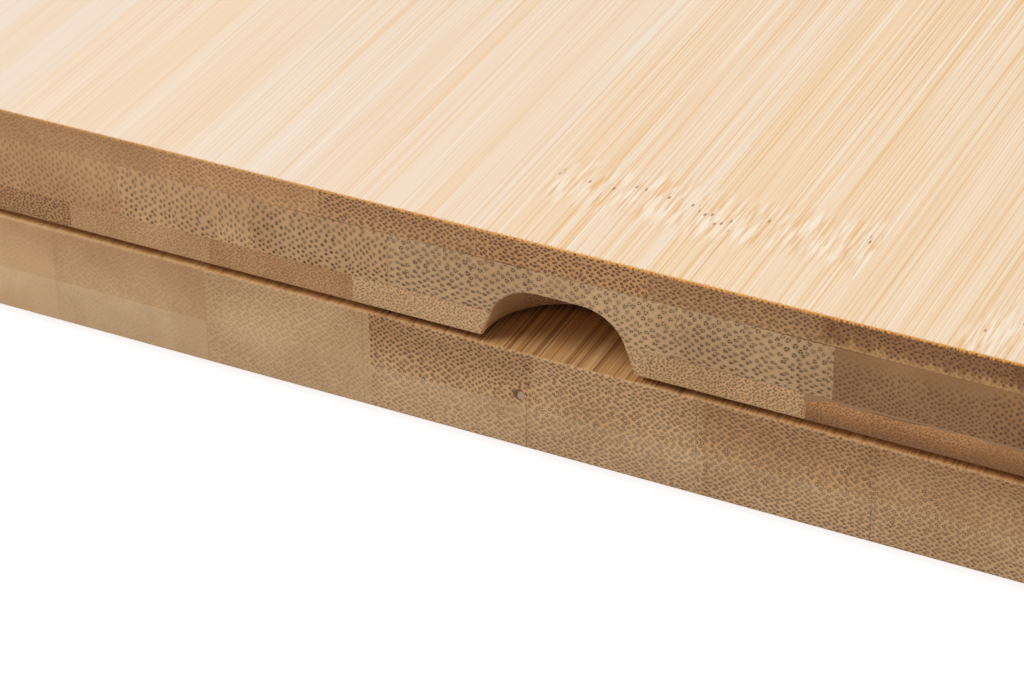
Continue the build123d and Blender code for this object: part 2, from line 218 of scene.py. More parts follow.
def makeEndGrainGroup():
    tree, given, out = newGroup(
        "fibreEnds",
        ["Point", "Spacing", "Sparse Level", "Dense Level", "Crowding", "Scatter", "Ring", "Ring Width",
         "Lobes", "Lobe Share", "Solid", "Shift"],
        ["Dots", "Net", "Share"],
    )
    x, y, z = parts(given["Point"])
    shift, solid = given["Shift"], given["Solid"]
    height = z - given["Sparse Level"]
    share = calc("DIVIDE", height, given["Dense Level"] - given["Sparse Level"], clamp=True)

    # rows cross at right angles, on the slant, and wander a little
    scale = endGrain["wanderScale"]
    slow = point(shift * endGrain["wanderStep"] + x * scale, y * endGrain["wanderLong"], z * scale)
    wanderA = (cloud(slow) - 0.5) * endGrain["wander"]
    wanderB = (cloud(slow, endGrain["secondWander"]) - 0.5) * endGrain["wander"]
    across = shift * endGrain["acrossStep"] + x / given["Spacing"]
    rows = shift * endGrain["rowStep"] + height * (share * given["Crowding"] + 1.0) / given["Spacing"]
    u = across + rows + wanderA
    v = across - rows + wanderB
    cell = cells(point(u, v, 0.0), given["Scatter"])
    centre = parts(cell["Position"])
    luck = parts(cell["Color"])

    # one bundle: a lobed ring, or a solid dot
    awayU = u - centre[0]
    awayV = v - centre[1]
    side = (awayU + awayV) * endGrain["slant"]
    rise = (awayU - awayV) * endGrain["slant"]
    flat = rise * (1.0 - solid * endGrain["flatten"])
    distance = calc("SQRT", side * side + flat * flat)
    swing = (luck[1] - 0.5) * endGrain["swing"] + calc("ARCTAN2", rise, side)
    lobes = calc("COSINE", swing * given["Lobes"]) * 0.5 + 0.5
    hollow = 1.0 - solid
    grown = luck[2] * endGrain["growth"] + endGrain["smallest"]
    grown = grown * (endGrain["innerSize"] - share * endGrain["outerLoss"])
    fromRing = abs(distance - given["Ring"] * grown * hollow)
    thick = given["Ring Width"] * (solid * endGrain["solidGrowth"] + 1.0)
    ring = fade(fromRing, thick * endGrain["ringCore"], thick * endGrain["ringRim"], 1.0, 0.0)
    lobeShare = given["Lobe Share"] * hollow
    lobed = lobes * lobeShare + (1.0 - lobeShare)
    strength = luck[0] * endGrain["strengthSpread"] + endGrain["faintest"]
    feed(out["Dots"], calc("MULTIPLY", ring * lobed, strength, clamp=True))
    feed(out["Net"], fade(cell["Distance"], *endGrain["net"]))
    feed(out["Share"], share)
    return tree


# long grain: fibres that run with Y, as soft bands, a fine weave of lines, and sparse dark and pale lines
longGrain = {
    "step": 71.0, "endStep": 13.7, "bunchScale": 130.0, "bunchReach": 5.0,
    "streak": (0.03, 0.25, 11.3), "streakSpan": (0.36, 0.64),
    "band": (0.10, 0.5, 0.0), "bandCloud": (1.0, 3.0, 0.55),
    "fibre": (1.0, 1.0, 0.0), "fineCloud": (1.6, 2.0, 0.6), "fineSpan": (0.32, 0.68), "darkScale": 0.75,
    "pale": (0.95, 0.9, 31.7), "fewest": 0.66, "coverGain": 0.2, "edge": 0.12,
}


def makeLongGrainGroup():
    tree, given, out = newGroup("longFibres", ["Point", "Line Width", "Stretch", "Cover", "Shift"],
                                ["Broad", "Band", "Fine", "Dark", "Light"])
    x, y, z = parts(given["Point"])
    offset = given["Shift"] * longGrain["step"]
    wide = x / given["Line Width"]
    deep = z / given["Line Width"]
    scale = longGrain["bunchScale"]
    bunch = cloud(point(x * scale + offset, 0.0, z * scale), 1.0, 2.0)  # neighbouring fibres end apart
    long = y / (given["Line Width"] * given["Stretch"])
    long = long + (bunch * longGrain["bunchReach"] + given["Shift"] * longGrain["endStep"])

    def layer(name):
        thin, lengthwise, start = longGrain[name]
        return point(wide * thin + (offset + start), long * lengthwise, deep * thin)

    level = longGrain["fewest"] - given["Cover"] * longGrain["coverGain"]
    full = level + longGrain["edge"]
    fibre = layer("fibre")
    feed(out["Broad"], fade(cloud(layer("streak")), *longGrain["streakSpan"]))
    feed(out["Band"], cloud(layer("band"), *longGrain["bandCloud"]))
    feed(out["Fine"], fade(cloud(fibre, *longGrain["fineCloud"]), *longGrain["fineSpan"]))
    feed(out["Dark"], fade(cloud(fibre, longGrain["darkScale"]), level, full))
    feed(out["Light"], fade(cloud(layer("pale")), level, full))
    return tree


# knuckle: the band across a strip where the cane had a joint
cane = {
    "step": 37.0, "waveScale": 180.0, "waveReach": 5.0 * mm, "bend": 1.2 * mm,
    "raggedScale": 900.0, "raggedLevel": 7.0, "raggedShare": 0.5, "bandSpan": (0.2, 0.6, 1.0, 0.0),
    "flame": (1250.0, 110.0, 0.0), "hair": (3600.0, 130.0, 5.0), "hairShare": 0.85, "flameSpan": (0.47, 0.67),
    "crease": (1700.0, 130.0, 3.0), "creaseSpan": (0.46, 0.62),
    "pitScale": (560.0, 215.0), "chosenSpan": (0.22, 0.26), "speckSpan": (0.05, 0.14, 1.0, 0.0),
    "rowSpan": (0.08, 0.16, 1.0, 0.0),
}


def makeKnuckleGroup():
    tree, given, out = newGroup("caneKnuckle", ["Point", "Place", "Length", "Shift", "Cover"],
                                ["Dashes", "Waves", "Specks"])
    x, y, z = parts(given["Point"])
    offset = given["Shift"] * cane["step"]
    wave = cloud(point(x * cane["waveScale"] + offset, 0.0, 0.0), 1.0, 2.0) - 0.5
    apart = abs(wave * cane["waveReach"] + y - given["Place"]) / given["Length"]
    ragged = cloud(point(x * cane["raggedScale"] + offset, 0.0, cane["raggedLevel"])) - 0.5
    band = fade(ragged * cane["raggedShare"] + apart, *cane["bandSpan"]) * given["Cover"]
    bent = wave * cane["bend"] + x

    def layer(name):
        acrossScale, alongScale, level = cane[name]
        return cloud(point(bent * acrossScale + offset, y * alongScale, level))

    flames = fade((layer("hair") - 0.5) * cane["hairShare"] + layer("flame"), *cane["flameSpan"])
    pitAcross, pitAlong = cane["pitScale"]
    cell = cells(point(x * pitAcross + offset, y * pitAlong, 0.0), 1.0)
    chosen = fade(parts(cell["Color"])[1], *cane["chosenSpan"])
    row = fade(apart, *cane["rowSpan"]) * given["Cover"]
    feed(out["Dashes"], flames * band)
    feed(out["Waves"], fade(layer("crease"), *cane["creaseSpan"]) * band)
    feed(out["Specks"], fade(cell["Distance"], *cane["speckSpan"]) * chosen * row)
    return tree


# ply line: the thin glue line along a ply's face, bolder in places
plyLine = {"alongScale": 60.0, "levelStep": 900.0, "patchSpan": (0.40, 0.60), "faintShare": 0.25}


def makePlyLineGroup():
    tree, given, out = newGroup("plyLine", ["Point", "Level", "Thickness", "Boldness"], ["Line"])
    x, y, z = parts(given["Point"])
    thin = fade(abs(z - given["Level"]), 0.0, given["Thickness"], 1.0, 0.0)
    along = point(x * plyLine["alongScale"], given["Level"] * plyLine["levelStep"], 0.0)
    patchy = fade(cloud(along, 1.0, 2.0), *plyLine["patchSpan"], given["Boldness"] * plyLine["faintShare"],
                  given["Boldness"])
    feed(out["Line"], thin * patchy)
    return tree


# fringe and highlight: cut fibres that stand open along the saw-cut front and back edges, and on the drawer a
# painted highlight along its top edge
fringeAndHighlightMix = {"scale": 2300.0, "shortest": 0.2 * mm, "reachSpan": (0.38, 0.62), "endSpan": (0.6, 1.0, 1.0, 0.0),
        "faceSpan": (0.5, 1.0, 1.0, 0.0), "beadSpan": (0.36, 0.6, 0.2, 1.0)}


def makeFringeGroup():
    tree, given, out = newGroup("sawnFringe", ["Point", "Level", "Reach"], ["Fringe"])
    x, y, z = parts(given["Point"])
    ragged = cloud(point(x * fringeAndHighlightMix["scale"], 0.0, 0.0))
    reach = fade(ragged, *fringeAndHighlightMix["reachSpan"], fringeAndHighlightMix["shortest"], given["Reach"])
    onEnd = fade((given["Level"] - z) / reach, *fringeAndHighlightMix["endSpan"])
    onFace = fade(calc("MINIMUM", y - frontY, backY - y) / reach, *fringeAndHighlightMix["faceSpan"])
    feed(out["Fringe"], onEnd * onFace * fade(ragged, *fringeAndHighlightMix["beadSpan"]))
    return tree


stripGroup = makeStripGroup()
endGrainGroup = makeEndGrainGroup()
longGrainGroup = makeLongGrainGroup()
knuckleGroup = makeKnuckleGroup()
plyLineGroup = makePlyLineGroup()
fringeAndHighlightGroup = makeFringeGroup()
print("grain groups made")


# bamboo: one material for each ply, from its own settings
bambooMix = {
    "seamWidth": 0.13 * mm, "plyWidth": 0.13 * mm, "endSpan": (0.35, 0.8),
    "finest": 0.6, "patchCloud": (95.0, 3.0, 0.55), "patchSpan": (0.38, 0.66, 0.0, 0.6),
    "gritCloud": (3400.0, 2.0, 0.6), "gritSpan": (0.35, 0.7, 0.0, 0.5), "shadeGain": 2.0,
    "outerSpan": (0.25, 0.95), "outerShare": 0.55, "plainBefore": 0.3, "plainAfter": 0.05,
    "broadShare": 0.3, "bandSpan": (0.35, 0.65, 0.0, 0.34),
    "creaseShare": 0.6, "flameShare": 0.7, "speckShare": 0.8, "coverEdge": 0.12, "notchEdge": 5.0 * mm,
    "glueOnFace": 0.1, "glueOnEnd": 0.4, "leastLeft": 0.2, "leastRight": 0.25, "leastFringe": 0.35,
    "roughSpan": (0.3, 0.7, 0.46, 0.58), "endRough": 0.12, "specular": 0.3,
    "gritRelief": 0.6, "dotRelief": 0.8, "lineRelief": 0.3, "relief": 0.3, "reliefDepth": 0.1 * mm,
}
rindMix = {
    "edge": 0.5 * mm, "combScale": 520.0, "combLevel": 2.0, "combCloud": (1.0, 2.0, 0.7),
    "hairScale": (2600.0, 500.0), "tipSpan": (0.44, 0.72, 0.5 * mm, 3.8 * mm),
    "hairSpan": (0.3, 0.7, 0.6, 1.3), "wedgeSpan": (0.2, 1.2, 1.0, 0.0), "rindSpan": (0.3, 0.7, 0.6, 1.0),
    "outSpan": (0.0, 0.35), "wedgeShare": 0.4,
}
sunkMix = {
    "sagScale": 120.0, "sagLevel": 4.0, "sagSpan": (0.35, 0.65, 0.0, 0.55 * mm),
    "lipLength": 3.5 * mm, "lip": (1.25 * mm, 0.15 * mm),
    "levelEdge": 0.07 * mm, "sideEdge": 0.1 * mm, "gritSpan": (0.3, 0.7, 0.8, 1.0),
    "crackSpan": (0.0, 0.17 * mm, 0.75, 0.0), "crackEnd": 2.0 * mm,
}
pitMix = {"chipSlide": 0.38, "chipDrop": 0.3, "raggedCloud": (1500.0, 2.0), "ragged": 0.5,
          "hollow": (0.75, 1.0), "chip": (0.45, 0.75), "hollowShare": 0.85, "chipShare": 0.8}


def stripTable(x, look, name):
    # a stepped ramp across the board: strips in the photo have their own values, the others take turns
    seam, width, span = look["stripSeam"], look["stripWidth"], rightX - leftX
    ramp = x.tree.nodes.new("ShaderNodeValToRGB")
    ramp.color_ramp.interpolation = "CONSTANT"
    stops = ramp.color_ramp.elements
    spare = look["spare" + name]
    first = math.floor((leftX - seam) / width)
    last = math.floor((rightX - seam) / width)
    for count, index in enumerate(range(first, last + 1)):
        spot = max((seam + index * width - leftX) / span, 0.0)
        stop = stops[count] if count < 2 else stops.new(spot)
        stop.position = spot
        stop.color = look["seen" + name].get(index, spare[index % len(spare)])
    feed(ramp.inputs[0], (x - leftX) / span)
    return (*parts(Wire(ramp.outputs["Color"])), Wire(ramp.outputs["Alpha"]))


def addRind(look, colour, x, z, share):  # an outer strip: dark rind above, pale wedges rising into it
    rim = fade(x, look["spikes"] - rindMix["edge"], look["spikes"] + rindMix["edge"])
    comb = cloud(point(x * rindMix["combScale"], 0.0, rindMix["combLevel"]), *rindMix["combCloud"])
    hairAcross, hairUp = rindMix["hairScale"]
    hair = cloud(point(x * hairAcross, 0.0, z * hairUp), 1.0, 2.0)
    tip = fade(comb, *rindMix["tipSpan"]) * fade(hair, *rindMix["hairSpan"])
    wedge = fade((z - look["sparse"]) / tip, *rindMix["wedgeSpan"])
    rind = (1.0 - wedge) * fade(hair, *rindMix["rindSpan"]) * fade(share, *rindMix["outSpan"])
    colour = tint(rind * rim, colour, look["rind"], "MULTIPLY")
    return tint(wedge * rim * rindMix["wedgeShare"], colour, look["wedge"])


def addSunkEdge(look, colour, x, z, grit):  # strips whose upper edge sank, so the ply above closes in on them
    start, crackFrom, crackTo, above = look["sunkEdge"]
    sag = cloud(point(x * sunkMix["sagScale"], 0.0, sunkMix["sagLevel"]))
    drop = fade(x, start, start + sunkMix["lipLength"], *sunkMix["lip"]) + fade(sag, *sunkMix["sagSpan"])
    level = z + drop - look["sparse"]
    filled = fade(level, -sunkMix["levelEdge"], sunkMix["levelEdge"])
    filled = filled * fade(x, start, start + sunkMix["sideEdge"])
    colour = tint(filled * fade(grit, *sunkMix["gritSpan"]), colour, above)
    stretch = (fade(x, crackFrom, crackFrom + sunkMix["crackEnd"])
               * fade(x, crackTo - sunkMix["crackEnd"], crackTo, 1.0, 0.0))
    return tint(fade(abs(level), *sunkMix["crackSpan"]) * stretch, colour, look["glue"])


def addPit(look, colour, spot, x, z, end):  # where a branch left the cane: a dark crescent round a pale chip
    pitX, pitZ, radius = look["pit"]
    ragged = (cloud(spot, *pitMix["raggedCloud"]) - 0.5) * (pitMix["ragged"] * radius)

    def blot(slide, core, rim):
        dx = x - (pitX + slide)
        dz = z - (pitZ - pitMix["chipDrop"] * slide)
        return fade(ragged + calc("SQRT", dx * dx + dz * dz), core * radius, rim * radius, 1.0, 0.0)

    front = blot(0.0, *pitMix["hollow"]) * end
    chip = blot(pitMix["chipSlide"] * radius, *pitMix["chip"])
    colour = tint(front * pitMix["hollowShare"], colour, look["dot"])
    return tint(chip * front * pitMix["chipShare"], colour, look["pitChip"])


def paintEnds(look, spot, x, z, shift, grain):
    tone, warmth, contrast, solid = stripTable(x, look, "Ends")
    fineness, plainness, shade = grain
    ends = place(endGrainGroup, {
        "Point": spot, "Spacing": (1.0 - fineness * bambooMix["finest"]) * look["spacing"],
        "Sparse Level": look["sparse"], "Dense Level": look["dense"], "Crowding": look["crowding"],
        "Scatter": look["scatter"], "Ring": look["ring"], "Ring Width": look["ringWidth"],
        "Lobes": look["lobes"], "Lobe Share": look["lobeShare"], "Solid": solid, "Shift": shift})
    share = ends["Share"]
    patches = cloud(spot, *bambooMix["patchCloud"])
    grit = cloud(spot, *bambooMix["gritCloud"])
    ground = tint(tone, look["endDeep"], look["endPale"])
    ground = tint(warmth, ground, look["endWarm"], "MULTIPLY")
    ground = tint(fade(patches, *bambooMix["patchSpan"]), ground, look["patch"], "MULTIPLY")
    crowded = share * (shade * bambooMix["shadeGain"] + look["denseShade"])
    ground = tint(crowded, ground, look["patch"], "MULTIPLY")
    outer = fade(share, *bambooMix["outerSpan"]) * (shade * bambooMix["outerShare"])
    ground = tint(outer, ground, look["dot"])
    ground = tint(ends["Net"] * contrast, ground, look["net"], "MULTIPLY")
    ground = tint(fade(grit, *bambooMix["gritSpan"]), ground, look["patch"], "MULTIPLY")
    clear = fade(share, plainness - bambooMix["plainBefore"], plainness + bambooMix["plainAfter"])
    dots = ends["Dots"] * ((share * look["denseDots"] + look["sparseDots"]) * clear)
    dark = calc("MULTIPLY", dots, contrast * look["dotGain"], clamp=True)
    colour = tint(dark, ground, look["dot"])
    if "spikes" in look:
        colour = addRind(look, colour, x, z, share)
    if "sunkEdge" in look:
        colour = addSunkEdge(look, colour, x, z, grit)
    return colour, dark, grit


def paintFaces(look, spot, x, strip, bare):
    whiteness, depth, keen, slant = stripTable(x, look, "Faces")
    fibres = place(longGrainGroup, {
        "Point": spot, "Line Width": look["lineWidth"], "Stretch": look["stretch"], "Cover": look["cover"],
        "Shift": strip["Shift"]})
    face = tint(whiteness, look["faceWarm"], look["facePale"])
    face = tint(fibres["Broad"] * bambooMix["broadShare"], face, look["faceDeep"])
    face = tint(fade(fibres["Band"], *bambooMix["bandSpan"]), face, look["faceDeep"])
    for layer, share, colour in (("Fine", "fineShare", "faceDeep"), ("Light", "lightShare", "faceLight"),
                                 ("Dark", "lineShare", "faceLine")):
        face = tint(fibres[layer] * (keen * look[share]), face, look[colour])

    # one knuckle on each strip, which may lie partly past its ends
    lean = (strip["Inside"] - 0.5) * look["lean"]
    knuckleY = slant * lean + (depth * (backY - frontY + 2 * look["past"]) + (frontY - look["past"]))
    cover = fade(strip["Inside"], bare - bambooMix["coverEdge"], bare)
    knuckle = place(knuckleGroup, {"Point": spot, "Place": knuckleY, "Length": look["knuckleLength"],
                                   "Shift": strip["Shift"], "Cover": cover})
    for layer, share, colour in (("Waves", "creaseShare", "crease"), ("Dashes", "flameShare", "flame"),
                                 ("Specks", "speckShare", "speck")):
        face = tint(knuckle[layer] * bambooMix[share], face, look[colour])
    if "notchBrownAndShade" in look:  # browned where the cutter went through, and painted shade inside the notch
        reach, brownAndShade = look["notchBrownAndShade"]
        face = tint(fade(abs(x), reach, reach + bambooMix["notchEdge"], 1.0, 0.0), face, brownAndShade, "MULTIPLY")
    return face, fibres


def makeBamboo(look):
    material, shader, spot = newMaterial(look["name"])
    x, y, z = parts(spot)
    normal = parts(Wire(spot.tree.nodes.new("ShaderNodeNewGeometry").outputs["Normal"]))
    endways = normal[1]
    if look.get("turned"):  # grain along X
        x, y = y, x
        spot = point(x, y, z)
        endways = normal[0]
    strip = place(stripGroup, {"Across": x, "Width": look["stripWidth"], "Seam": look["stripSeam"],
                               "Seed": look["seed"], "Line Width": bambooMix["seamWidth"]})
    end = fade(abs(endways), *bambooMix["endSpan"])
    *grain, bare = stripTable(x, look, "Grain")
    endColour, dark, grit = paintEnds(look, spot, x, z, strip["Shift"], grain)
    face, fibres = paintFaces(look, spot, x, strip, bare)
    colour = tint(end, face, endColour)

    # glue lines between strips and at the ply's own faces
    squeezed = calc("MINIMUM", fade(x, *look["glueFrom"], bambooMix["leastLeft"], 1.0),
                    fade(x, *look["glueTo"], 1.0, bambooMix["leastRight"]))
    glue = strip["Line"] * (end * bambooMix["glueOnEnd"] + bambooMix["glueOnFace"])
    for level, boldness in look["plyLines"]:
        line = place(plyLineGroup, {"Point": spot, "Level": level, "Thickness": bambooMix["plyWidth"],
                                    "Boldness": boldness})
        glue = calc("MAXIMUM", glue, line["Line"] * end)
    colour = tint(glue * squeezed, colour, look["glue"])

    if "pit" in look:
        colour = addPit(look, colour, spot, x, z, end)
    if "fringeAndHighlightLevel" in look:  # fibres that stand open along the saw-cut edge, and on the drawer a painted highlight on its top front edge; paler on the strips to the left
        fringeAndHighlight = place(fringeAndHighlightGroup, {"Point": spot, "Level": look["fringeAndHighlightLevel"],
                                     "Reach": look["fringeAndHighlightReach"]})
        vivid = fade(x, *look["fringeAndHighlightFrom"], bambooMix["leastFringe"], 1.0)
        colour = tint(fringeAndHighlight["Fringe"] * (vivid * look["fringeAndHighlightShare"]), colour, look["fringeAndHighlight"])

    feed(shader.inputs["Base Color"], colour)
    rough = end * bambooMix["endRough"] + fade(fibres["Band"], *bambooMix["roughSpan"])
    feed(shader.inputs["Roughness"], rough)
    shader.inputs["Specular IOR Level"].default_value = bambooMix["specular"]

    # sanded relief: bundles a little sunk on end faces, fibre lines on long faces
    sunk = (grit * bambooMix["gritRelief"] - dark * bambooMix["dotRelief"]) * end
    lines = (fibres["Light"] - fibres["Dark"]) * ((1.0 - end) * bambooMix["lineRelief"])
    emboss(shader, sunk + lines, bambooMix["relief"], bambooMix["reliefDepth"])
    return material


def wear(node, material):
    slots = nodes[node].data.materials
    slots.clear()
    slots.append(material)


# For each strip, counted from the seam: ends are (tone, warmth, contrast, solid bundles), grain is
# (fineness, plain share, shade, share at the left without a knuckle), and faces are (whiteness, place of
# the knuckle from front to back, keenness, slant of the knuckle).
boardLook = {
    "facePale": srgb(241, 229, 219), "faceWarm": srgb(247, 224, 194), "faceDeep": srgb(241, 204, 158),
    "faceLight": srgb(254, 242, 226), "faceLine": srgb(234, 180, 114), "speck": srgb(140, 98, 74),
    "flame": srgb(254, 243, 224), "crease": srgb(230, 172, 110),
    "fineShare": 0.6, "lightShare": 0.65, "lineShare": 0.7,
    "lineWidth": 0.21 * mm, "stretch": 380.0, "cover": 0.65,
    "knuckleLength": 16.0 * mm, "lean": 25.0 * mm, "past": 10.0 * mm,
    "endDeep": srgb(160, 128, 94), "endPale": srgb(227, 190, 145), "endWarm": (1.0, 0.76, 0.52, 1.0),
    "patch": (0.80, 0.74, 0.68, 1.0), "net": (1.14, 1.13, 1.11, 1.0),
    "dot": srgb(86, 52, 32), "dotGain": 1.3, "glue": srgb(90, 60, 38),
    "glueFrom": (-80.0 * mm, -15.0 * mm), "glueTo": (42.0 * mm, 54.0 * mm),
    "seenEnds": {},
    "spareEnds": [(0.5, 0.4, 0.8, 0.0), (0.62, 0.3, 0.7, 0.2), (0.42, 0.5, 0.9, 0.0), (0.55, 0.6, 0.8, 0.4)],
    "seenGrain": {}, "spareGrain": [(0.0, 0.0, 0.0, 0.0)],
    "seenFaces": {},
    "spareFaces": [(0.4, 0.62, 0.8, 0.1), (0.7, 0.35, 0.6, 0.0),
                   (0.5, 0.83, 0.9, 0.25), (0.3, 0.48, 0.7, 0.15)],
}

topPlyLook = {
    **boardLook, "name": "topPlyBamboo", "seed": 2.0, "stripWidth": 26.7 * mm, "stripSeam": -12.9 * mm,
    "spacing": 1.10 * mm, "sparse": coreTop, "dense": boardTop, "crowding": 0.3,
    "scatter": 0.5, "ring": 0.20, "ringWidth": 0.17, "lobes": 4.0, "lobeShare": 0.3,
    "denseShade": 0.7, "sparseDots": 0.8, "denseDots": 0.3, "plyLines": [(coreTop, 0.95)],
    "fringeAndHighlightLevel": boardTop, "fringeAndHighlightReach": 0.6 * mm, "fringeAndHighlightShare": 0.95, "fringeAndHighlight": srgb(238, 166, 74),
    "fringeAndHighlightFrom": (-80.0 * mm, 10.0 * mm),
    "spikes": 40.5 * mm, "rind": (0.74, 0.64, 0.56, 1.0), "wedge": srgb(222, 174, 110),
    "seenEnds": {-4: (0.56, 0.6, 0.25, 0.0), -3: (0.58, 0.60, 0.36, 0.0), -2: (0.74, 0.66, 0.55, 0.0),
                 -1: (0.53, 0.65, 1.05, 0.0), 0: (0.59, 0.72, 1.25, 0.0), 1: (0.39, 0.63, 1.0, 0.0),
                 2: (0.28, 0.75, 0.9, 0.35), 3: (0.05, 0.95, 0.7, 0.35)},
    "seenFaces": {-4: (1.0, 0.60, 0.2, 0.0), -3: (0.6, 0.72, 0.45, 0.0), -2: (0.8, 0.45, 0.5, 0.0),
                  -1: (0.6, 0.55, 0.6, 0.0), 0: (0.4, 0.0815, 0.95, 0.0), 1: (0.1, 0.0815, 1.0, 0.18),
                  2: (0.15, 0.019, 0.9, 1.0), 3: (0.3, 0.066, 0.8, 0.2)},
    "seenGrain": {0: (0.0, 0.0, 0.0, 0.22), 2: (0.0, 0.0, 0.0, 0.75)},
}

corePlyLook = {
    **boardLook, "name": "corePlyBamboo", "seed": 11.0, "stripWidth": 23.05 * mm, "stripSeam": -4.45 * mm,
    "spacing": 1.9 * mm, "sparse": coreTop, "dense": underTop, "crowding": 0.3,
    "scatter": 0.44, "ring": 0.205, "ringWidth": 0.16, "lobes": 3.0, "lobeShare": 0.8,
    "denseShade": 0.15, "sparseDots": 0.75, "denseDots": 0.5, "plyLines": [(coreTop, 0.9), (underTop, 0.4)],
    "facePale": srgb(240, 216, 182), "faceWarm": srgb(233, 202, 160),
    # browned by the cutter, and painted shade, on the notch walls
    "notchBrownAndShade": (30.0 * mm, (0.49, 0.35, 0.24, 1.0)),
    "seenEnds": {-4: (0.68, 0.56, 0.38, 1.0), -3: (0.77, 0.36, 0.56, 1.0), -2: (0.57, 0.40, 0.75, 0.75),
                 -1: (0.56, 0.12, 1.0, 0.1), 0: (0.66, 0.12, 1.0, 0.0), 1: (0.53, 0.15, 1.05, 0.1),
                 2: (0.07, 0.68, 0.75, 0.5), 3: (0.10, 0.80, 0.9, 0.5)},
    "seenGrain": {-4: (0.38, 0.0, 0.1, 0.0), -3: (0.30, 0.0, 0.0, 0.0), -2: (0.34, 0.0, 0.0, 0.0),
                  2: (0.65, 0.35, 0.05, 0.0), 3: (0.5, 0.2, 0.1, 0.0)},
    "spareGrain": [(0.23, 0.0, 0.0, 0.0)],
}

underPlyLook = {
    **boardLook, "name": "underPlyBamboo", "seed": 23.0, "stripWidth": 24.4 * mm, "stripSeam": -10.3 * mm,
    "spacing": 0.72 * mm, "sparse": underTop, "dense": boardBottom, "crowding": 0.2,
    "scatter": 0.7, "ring": 0.15, "ringWidth": 0.22, "lobes": 4.0, "lobeShare": 0.2,
    "denseShade": 0.1, "sparseDots": 0.6, "denseDots": 0.15, "plyLines": [(underTop, 0.4)],
    "facePale": srgb(242, 219, 188), "faceWarm": srgb(236, 206, 166),
    # browned by the cutter, and painted shade, on the notch walls
    "notchBrownAndShade": (30.0 * mm, (0.62, 0.48, 0.34, 1.0)),
    "seenEnds": {-4: (0.26, 0.72, 1.3, 0.3), -3: (0.58, 0.48, 0.6, 0.0), -2: (0.40, 0.70, 0.75, 0.0),
                 -1: (0.76, 0.30, 0.9, 0.0), 0: (0.70, 0.32, 1.0, 0.0), 1: (0.70, 0.40, 1.1, 0.0),
                 2: (0.64, 0.95, 0.9, 0.0), 3: (0.52, 0.95, 0.7, 0.0)},
    "seenGrain": {2: (0.0, 0.2, 1.0, 0.0), 3: (0.0, 0.2, 0.9, 0.0)},
    "sunkEdge": (38.5 * mm, 47.0 * mm, 57.0 * mm, srgb(162, 122, 86)),
}

drawerLook = {
    **boardLook, "stripWidth": 27.15 * mm, "stripSeam": -5.0 * mm,
    # long faces deeper than the board's: painted shade for the notch and the running gap
    "facePale": srgb(222, 182, 128), "faceWarm": srgb(208, 158, 98), "faceDeep": srgb(182, 122, 60),
    "faceLight": srgb(232, 198, 148), "faceLine": srgb(126, 74, 28), "lineWidth": 0.27 * mm,
    "flame": srgb(230, 194, 142), "crease": srgb(150, 98, 48), "speck": srgb(92, 58, 34),
    "cover": 0.8, "lineShare": 0.85, "glueTo": (70.0 * mm, 90.0 * mm),
    "spacing": 1.14 * mm, "scatter": 0.45, "crowding": 0.25, "ring": 0.24, "ringWidth": 0.15,
    "lobes": 4.0, "lobeShare": 0.45, "sparseDots": 0.65, "denseDots": 0.4,
    "dotGain": 1.45, "dot": srgb(94, 58, 35),
    "spareFaces": [(0.4, 0.62, 0.8, 0.1), (0.6, 0.35, 0.7, 0.0),
                   (0.5, 0.83, 0.8, 0.25), (0.3, 0.48, 0.7, 0.15)],
}

drawerUpperLook = {
    **drawerLook, "name": "drawerUpperBamboo", "seed": 31.0, "sparse": pocketFloor, "dense": drawerTop,
    "plyLines": [(pocketFloor, 0.12)], "denseShade": 0.85,
    # a painted highlight along the drawer's top front edge
    "fringeAndHighlightLevel": drawerTop, "fringeAndHighlightReach": 0.4 * mm, "fringeAndHighlightShare": 0.35, "fringeAndHighlight": srgb(232, 196, 146),
    "fringeAndHighlightFrom": (-40.0 * mm, 0.0),
    "pit": (-6.2 * mm, 11.9 * mm, 1.15 * mm), "pitChip": srgb(206, 172, 140),
    "seenFaces": {-4: (0.9, 0.62, 0.35, 0.0), -3: (0.9, 0.35, 0.35, 0.0), -2: (0.8, 0.83, 0.45, 0.0),
                  -1: (0.5, 0.48, 0.75, 0.0), 0: (0.6, 0.62, 0.8, 0.0), 1: (0.4, 0.40, 0.6, 0.0),
                  2: (0.4, 0.75, 0.6, 0.0), 3: (0.3, 0.55, 0.5, 0.0)},
    "seenEnds": {-4: (0.92, 0.24, 0.1, 0.0), -3: (0.78, 0.28, 0.2, 0.0), -2: (0.94, 0.08, 0.4, 0.0),
                 -1: (0.82, 0.34, 1.0, 0.25), 0: (0.82, 0.28, 1.0, 0.0), 1: (0.72, 0.44, 1.0, 0.0),
                 2: (0.69, 0.40, 0.8, 0.0), 3: (0.52, 0.42, 0.6, 0.0)},
    "seenGrain": {-1: (0.0, 0.0, 0.26, 0.0), 1: (0.0, 0.0, 0.22, 0.0), 2: (0.0, 0.0, 0.1, 0.0)},
}

drawerLowerLook = {
    **drawerLook, "name": "drawerLowerBamboo", "seed": 37.0, "sparse": pocketFloor, "dense": drawerBottom,
    "plyLines": [], "denseShade": 0.2, "endPale": srgb(229, 194, 152), "endDeep": srgb(161, 130, 97),
    "seenEnds": {-4: (1.0, 0.06, 0.05, 0.0), -3: (0.86, 0.0, 0.1, 0.0), -2: (0.80, 0.08, 0.35, 0.0),
                 -1: (0.77, 0.18, 0.65, 0.0), 0: (0.81, 0.13, 0.8, 0.0), 1: (0.71, 0.27, 0.95, 0.0),
                 2: (0.71, 0.28, 0.9, 0.0), 3: (0.58, 0.34, 0.8, 0.0)},
}

